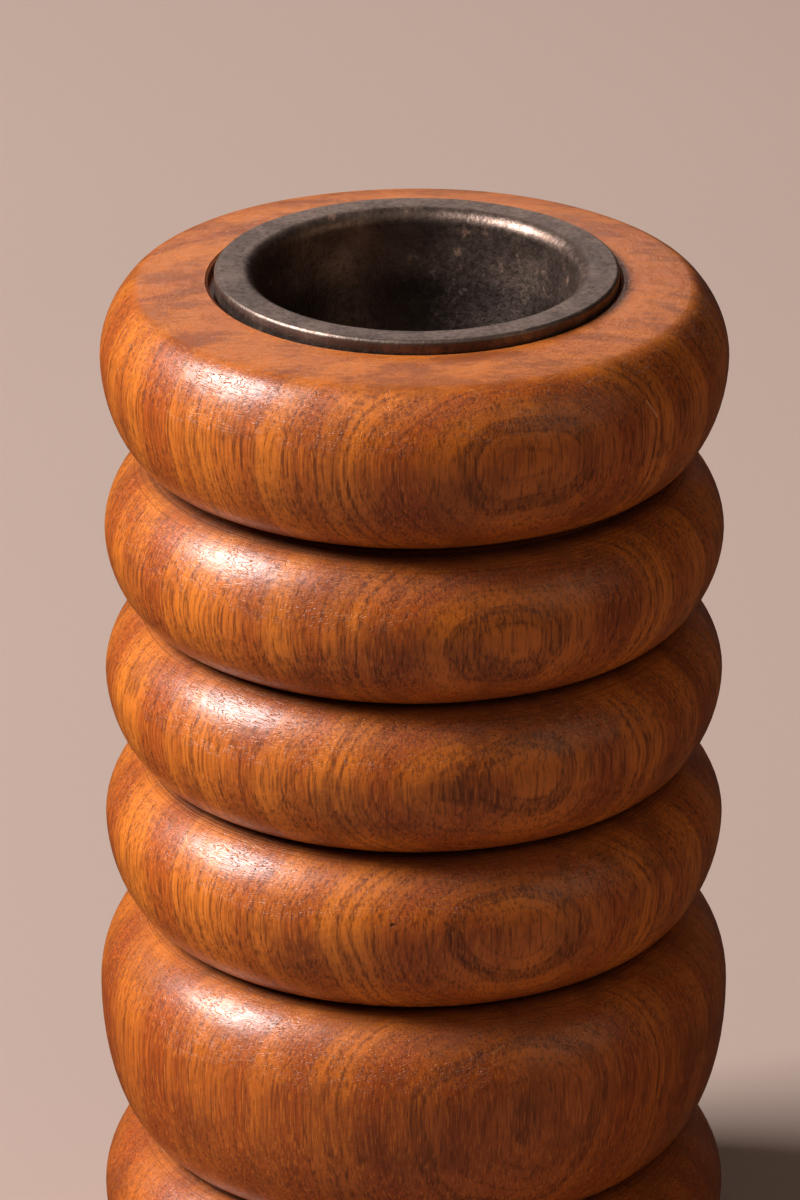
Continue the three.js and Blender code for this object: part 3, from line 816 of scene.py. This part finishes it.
SCREW_SLOT = 0.55 * MM
SCREW_SHANK = 1.2 * MM
SCREW_TIP = 2 * MM
HEAD_STEPS = 8
HEAD_RISE = {"retainer": 1.25 * MM, "bridge": 1.15 * MM}
NUT_BORE = 2.15 * MM
NUT_NECK_SHARE = 0.68  # of the rim's radius
NUT_NECK = 1.42 * MM
NUT_CHAMFER = 0.5 * MM
NUT_DISH = 0.25 * MM
NUT_RIDGES = 20
NUT_RIDGE_DEPTH = 0.35 * MM
SPINDLE_FOOT = 1.6 * MM
SPINDLE_DRIVE = 1.7 * MM  # half the side of the square that drives the rotor
SPINDLE_JOURNAL = 2.5 * MM
SPINDLE_SQUARE = 2.5 * MM  # half its side
SPINDLE_TOP = 2.0 * MM
SQUARE_STOP = 1.15 * MM  # from the square's end up to the bridge's top
ADJUST_PITCH = 0.7 * MM
FOOT_PITCH = 0.5 * MM
ROTOR_NUT_CORNER = 3.6 * MM
ROTOR_NUT_BORE = 1.75 * MM
SPRING_WIRE = 0.45 * MM
SPRING_TURNS = 5
BRIDGE_HALF_WIDTH = 4.5 * MM
BRIDGE_HOLE = 2.65 * MM  # half the side of its square hole
PLATE_HOLE = 14.8 * MM
PLATE_THICKNESS = 1.5 * MM
TAB_RADIUS = 16.3 * MM
TAB_HALF = (0.8 * MM, 2 * MM)
SCREW_HOLE = 1.4 * MM
BRACKET_SPOKE = 1.7 * MM  # half a spoke's width
BRACKET_RIM = 2.4 * MM
BRACKET_HUB = 5.4 * MM
BRACKET_DROP = 1.55 * MM
BUSH_HOLE = 3.95 * MM


def middle_of(node):
    low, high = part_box(node)
    return ((low.x + high.x) / 2, (low.y + high.y) / 2)


def finished(obj, node):
    return finish_piece(obj, node, FINISHES[SLOT_OF[node]])


def turned_ring(node, ease):
    """A washer, collar or bush: its CAD section with eased corners."""
    points = section(node)
    outline = walk_steps(points, min(points, key=lambda p: (p[1], p[0])))
    pairs = zip(outline, outline[1:] + outline[:1])
    if sum(a[0] * b[1] - b[0] * a[1] for a, b in pairs) < 0:
        outline.reverse()
    return finished(lathe(node + "_turned", eased(outline, ease), FINE_SEGMENTS), node)


def screw(node):
    """A slotted, round-headed wood screw, point up."""
    low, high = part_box(node)
    x, y = middle_of(node)
    head = (high.x - low.x) / 2
    rise = HEAD_RISE[node.split("_")[0]]
    outline = [(0, low.z)]
    for i in range(1, HEAD_STEPS + 1):
        a = math.pi / 2 * i / HEAD_STEPS
        outline.append((head * math.sin(a) ** 0.8, low.z + rise * 0.9 * (1 - math.cos(a))))
    outline += [(head, low.z + rise), (SCREW_SHANK, low.z + rise + 0.02 * MM)]
    outline += [(SCREW_SHANK, high.z - SCREW_TIP), (0, high.z)]
    body = lathe(node + "_turned", outline, SMALL_SEGMENTS, centre=(x, y))
    # Each slot points its own way.
    turn = math.atan2(y, x) + 0.5 * len(node) + x / MM
    slot_at = rectangle(head * 2, SCREW_SLOT / 2, (x, y), turn)
    slot = plate("slot", [slot_at], low.z - 1 * MM, low.z + rise * 0.5, 0.02 * MM)
    return finished(carve(body, slot), node)


def thread(name, radius, pitch, bottom, top):
    """A threaded rod with chamfered ends."""
    depth = pitch * 0.6
    steps = round((top - bottom) / pitch * 8)
    heights = [bottom + (top - bottom) * i / steps for i in range(steps + 1)]
    outline = [(0, bottom)] + [(radius, z) for z in heights] + [(0, top)]

    def shape(r, z, a):
        turn = (z / pitch - a / (2 * math.pi)) % 1
        end = min(z - bottom, top - z)
        return min(r - depth * (1 - abs(2 * turn - 1)), radius - depth + end)

    return lathe(name, outline, HOLE_SEGMENTS, shape=shape, smooth_angle=50)


def spindle():
    """From its foot up: a thread, a small square, a round journal, a square and a thread."""
    node = NODES["spindle"]
    levels = sorted({round(v.co.z, 6) for v in node.data.vertices})
    foot_bottom, drive_bottom = levels[0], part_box("rotor_washer")[0].z
    journal_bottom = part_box("rotor_burr")[1].z
    square_bottom = max(z for z in levels if z < wood_top / 2)
    square_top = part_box("drive_bridge")[1].z - SQUARE_STOP
    journal = [
        (0, journal_bottom),
        (SPINDLE_JOURNAL, journal_bottom),
        (SPINDLE_JOURNAL, square_bottom + 0.2 * MM),
        (SPINDLE_JOURNAL - 0.3 * MM, square_bottom + 0.5 * MM),
        (0, square_bottom + 0.5 * MM),
    ]
    drive = rectangle(SPINDLE_DRIVE, SPINDLE_DRIVE)
    square = rectangle(SPINDLE_SQUARE, SPINDLE_SQUARE)
    obj = joined(
        "spindle_made",
        thread("foot", SPINDLE_FOOT, FOOT_PITCH, foot_bottom, drive_bottom + 0.5 * MM),
        plate("drive", [drive], drive_bottom, journal_bottom + 0.9 * MM, 0.15 * MM),
        lathe("journal", journal, FINE_SEGMENTS),
        plate("square", [square], square_bottom, square_top, 0.3 * MM),
        thread("top", SPINDLE_TOP, ADJUST_PITCH, square_top - 0.5 * MM, levels[-1]),
    )
    return finished(obj, "spindle")


def adjusting_nut():
    """A knurled thumb nut with a plain neck below and a dished top."""
    low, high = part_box("adjusting_nut")
    bottom, top = low.z, high.z
    rim, shoulder = (high.x - low.x) / 2, bottom + NUT_NECK
    neck = rim * NUT_NECK_SHARE
    outline = [
        (NUT_BORE + 0.3 * MM, bottom),
        (neck - 0.15 * MM, bottom),
        (neck, bottom + 0.15 * MM),
        (neck, shoulder - 0.12 * MM),
        (neck + 0.12 * MM, shoulder),
        (rim - NUT_CHAMFER, shoulder),
        (rim, shoulder + NUT_CHAMFER),
        (rim, top - NUT_CHAMFER),
        (rim - NUT_CHAMFER, top),
        (rim - 1.3 * MM, top),
        (rim - 1.45 * MM, top - NUT_DISH),
        (NUT_BORE + 0.9 * MM, top - NUT_DISH),
        (NUT_BORE, top - 0.7 * MM),
        (NUT_BORE, bottom + 0.3 * MM),
    ]

    def shape(r, z, a):
        share = max(0.0, (r - rim + NUT_CHAMFER) / NUT_CHAMFER)
        ridge = abs(math.cos(NUT_RIDGES * a / 2)) ** 0.7
        return r - share * NUT_RIDGE_DEPTH * (1 - ridge)

    obj = lathe("adjusting_nut_knurled", outline, KNURL_SEGMENTS, shape=shape, smooth_angle=28)
    return finished(obj, "adjusting_nut")


def drive_bridge():
    """A round hub with two arms, a square hole and two screw holes."""
    low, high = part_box("drive_bridge")
    half, hub = high.x, high.y
    lean = math.asin(BRIDGE_HALF_WIDTH / hub)
    outline = [(half, BRIDGE_HALF_WIDTH)]
    outline += arc((0, 0), hub, math.degrees(lean), 180 - math.degrees(lean), 16)
    outline += [(-half, BRIDGE_HALF_WIDTH), (-half, -BRIDGE_HALF_WIDTH)]
    outline += arc((0, 0), hub, 180 + math.degrees(lean), 360 - math.degrees(lean), 16)
    outline += [(half, -BRIDGE_HALF_WIDTH)]
    holes = [rectangle(BRIDGE_HOLE, BRIDGE_HOLE)]
    holes += [circle(SCREW_HOLE, HOLE_SEGMENTS, middle_of(f"bridge_screw_{i}")) for i in (1, 2)]
    obj = plate("drive_bridge_bar", [eased(outline, 0.8 * MM)] + holes, low.z, high.z, 0.25 * MM)
    return finished(obj, "drive_bridge")


def bearing_bracket():
    """A three-spoked wheel whose hub holds the bush."""
    low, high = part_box("bearing_bracket")
    rim = (high.x - low.x) / 2
    inner, hub = rim - BRACKET_RIM, BRACKET_HUB
    outlines = [circle(rim, FINE_SEGMENTS)]
    for i in range(3):
        start, end = 30 + 120 * i, 150 + 120 * i
        far = math.degrees(math.asin(BRACKET_SPOKE / inner))
        near = math.degrees(math.asin(BRACKET_SPOKE / hub))
        window = arc((0, 0), inner, start + far, end - far, 20)
        window += arc((0, 0), hub, end - near, start + near, 8)
        outlines.append(eased(window, 0.8 * MM))
    outlines.append(circle(BUSH_HOLE, SMALL_SEGMENTS))
    drop = [(BUSH_HOLE, low.z), (hub - 0.2 * MM, low.z), (hub, low.z + 0.2 * MM)]
    drop += [(hub, low.z + BRACKET_DROP + 0.5 * MM), (BUSH_HOLE, low.z + BRACKET_DROP + 0.5 * MM)]
    obj = joined(
        "bearing_bracket_cast",
        plate("wheel", outlines, low.z + BRACKET_DROP, high.z, 0.25 * MM),
        lathe("hub", drop, SMALL_SEGMENTS),
    )
    return finished(obj, "bearing_bracket")


def retainer_plate():
    """A stamped ring with two tabs that stop the stator from turning."""
    low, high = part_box("retainer_plate")
    top = low.z + PLATE_THICKNESS
    screws = [middle_of(f"retainer_screw_{i}") for i in (1, 2, 3, 4)]
    outlines = [circle(high.x, FINE_SEGMENTS * 2), circle(PLATE_HOLE, FINE_SEGMENTS)]
    outlines += [circle(SCREW_HOLE, HOLE_SEGMENTS, at) for at in screws]
    tabs = []
    for side in (-1, 1):
        tab = rectangle(*TAB_HALF, (side * TAB_RADIUS, 0))
        tabs.append(plate("tab", [tab], top - 0.5 * MM, high.z, 0.15 * MM))
    obj = joined("retainer_plate_stamped", plate("ring", outlines, low.z, top, 0.2 * MM), *tabs)
    return finished(obj, "retainer_plate")


def rotor_nut():
    low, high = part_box("rotor_nut")
    outlines = [circle(ROTOR_NUT_CORNER, 6), circle(ROTOR_NUT_BORE, HOLE_SEGMENTS)]
    obj = plate("rotor_nut_hexagon", outlines, low.z, high.z, 0.3 * MM)
    return finished(obj, "rotor_nut")


def burr_spring():
    """Round wire wound as a compression spring. Its ends lie flat."""
    low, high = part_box("burr_spring")
    centre_radius = (high.x - low.x) / 2 - SPRING_WIRE
    bottom, top = low.z + SPRING_WIRE, high.z - SPRING_WIRE
    turns, sides, steps = SPRING_TURNS + 1, 12, 40
    vertices, faces = [], []
    count = turns * steps
    for i in range(count + 1):
        t = i / steps
        share = min(max((t - 0.5) / (turns - 1), 0.0), 1.0)
        a = t * 2 * math.pi
        out = Vector((math.cos(a), math.sin(a), 0))
        centre = out * centre_radius + Vector((0, 0, bottom + (top - bottom) * share))
        for j in range(sides):
            b = 2 * math.pi * j / sides
            offset = out * math.cos(b) + Vector((0, 0, math.sin(b)))
            vertices.append(centre + offset * SPRING_WIRE * 0.98)
    for i in range(count):
        for j in range(sides):
            k = (j + 1) % sides
            here, after = i * sides, (i + 1) * sides
            faces.append([here + j, here + k, after + k, after + j])
    last = count * sides
    faces.append(list(range(sides))[::-1])
    faces.append(list(range(last, last + sides)))
    obj = make_object("burr_spring_wound", vertices, faces)
    bm = bmesh.new()
    bm.from_mesh(obj.data)
    bmesh.ops.recalc_face_normals(bm, faces=bm.faces)
    bm.to_mesh(obj.data)
    bm.free()
    finished(obj, "burr_spring")
    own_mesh(obj)
    return obj


for ring_node in ("neck_collar", "glide_washer", "nut_washer", "rotor_washer", "bearing_bush"):
    turned_ring(ring_node, 0.12 * MM)
for screw_node in sorted(node for node in NODES if "screw" in node):
    screw(screw_node)
spindle()
adjusting_nut()
drive_bridge()
bearing_bracket()
retainer_plate()
rotor_nut()
burr_spring()
for node in ("rotor_burr", "stator_burr"):
    NODES[node].data.materials.clear()
    NODES[node].data.materials.append(burr_steel)

# -------------------------------------------------------------------------------------------------
# Floor, light and camera


def floor():
    """A wide pale floor. Polished pieces mirror the lights and the dark studio, and not this."""
    m = Material("pale_floor")
    place = m.place()
    cloud = m.noise(place, 0.004, 2.0, 0.5)
    m.set(
        Base_Color=m.mix(cloud, rgb(0.32, 0.240, 0.200), rgb(0.37, 0.280, 0.235)),
        Roughness=0.85,
    )
    half = 4.0
    corners = [(-half, -half, 0), (half, -half, 0), (half, half, 0), (-half, half, 0)]
    obj = make_object("floor", corners, [[0, 1, 2, 3]])
    obj.data.materials.append(m.material)
    obj.visible_glossy = False


def area_light(name, azimuth, elevation, distance, size, power, colour):
    """A square soft light. Azimuth is from the front, positive to the right."""
    a, e = math.radians(azimuth), math.radians(elevation)
    away = Vector((math.sin(a) * math.cos(e), -math.cos(a) * math.cos(e), math.sin(e)))
    data = bpy.data.lights.new(name, "AREA")
    data.size = size
    data.energy = power
    data.color = colour
    light = bpy.data.objects.new(name, data)
    bpy.context.scene.collection.objects.link(light)
    light.location = Vector((0, 0, wood_top * 0.6)) + away * distance
    light.rotation_euler = away.to_track_quat("Z", "Y").to_euler()


def world(colour, strength):
    sky = bpy.data.worlds.new("studio")
    sky.use_nodes = True
    background = sky.node_tree.nodes["Background"]
    background.inputs["Color"].default_value = colour
    background.inputs["Strength"].default_value = strength
    bpy.context.scene.world = sky


def camera():
    target = Vector((0, 0, wood_top - AIM_BELOW_WOOD_TOP))
    e = CAMERA_ELEVATION
    back = Vector((0, -math.cos(e), math.sin(e)))
    data = bpy.data.cameras.new("camera")
    data.lens = CAMERA_LENS
    data.clip_start, data.clip_end = 0.01, 100
    cam = bpy.data.objects.new("camera", data)
    bpy.context.scene.collection.objects.link(cam)
    cam.location = target + back * CAMERA_DISTANCE
    cam.rotation_euler = (math.pi / 2 - e + AIM_PITCH, 0, AIM_YAW)
    bpy.context.scene.camera = cam


floor()
# Azimuth and elevation in degrees, distance and size in metres, power in watts, colour.
area_light("key", -87, 41, 1.6, 0.68, 60, (1.0, 0.96, 0.96))
area_light("back", 182, 26, 2.0, 1.0, 3.6, (1.0, 0.88, 0.84))
area_light("fill", -10, 60, 2.0, 1.6, 4, (1.0, 0.90, 0.82))
area_light("warm", 60, 25, 2.0, 1.2, 3.5, (1.0, 0.74, 0.52))
world(rgb(0.9, 0.62, 0.48), 0.03)
camera()
bpy.context.scene.view_settings.view_transform = "Standard"
